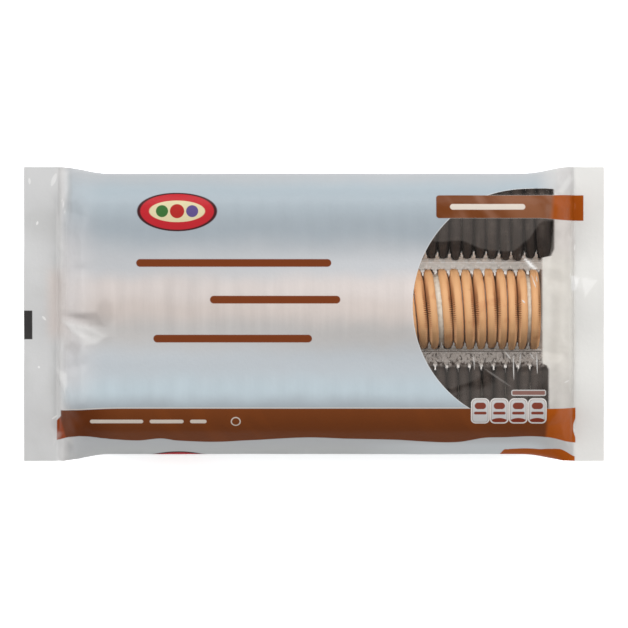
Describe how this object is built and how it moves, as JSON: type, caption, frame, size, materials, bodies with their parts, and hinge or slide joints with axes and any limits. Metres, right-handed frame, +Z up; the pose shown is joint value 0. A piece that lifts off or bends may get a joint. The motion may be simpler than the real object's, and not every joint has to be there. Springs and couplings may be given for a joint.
{
  "type": "pack of sandwich cookies",
  "caption": "Sealed film-wrapped tray pack of round sandwich cookies in chocolate and vanilla, with a clear round window and flat sealed ends",
  "frame": {"origin": "middle of the underside, which the pack lies on", "axes": "X along the rows of cookies, Y across them, Z up through the front of the pack"},
  "size_m": [0.319, 0.1616, 0.0463],
  "materials": {
    "printed_film": "satin",
    "tray_plastic": "satin",
    "chocolate_wafer": "matte",
    "vanilla_wafer": "matte",
    "creme": "matte"
  },
  "bodies": {
    "root": {"cookie_pack": "printed_film"}
  },
  "joints": []
}
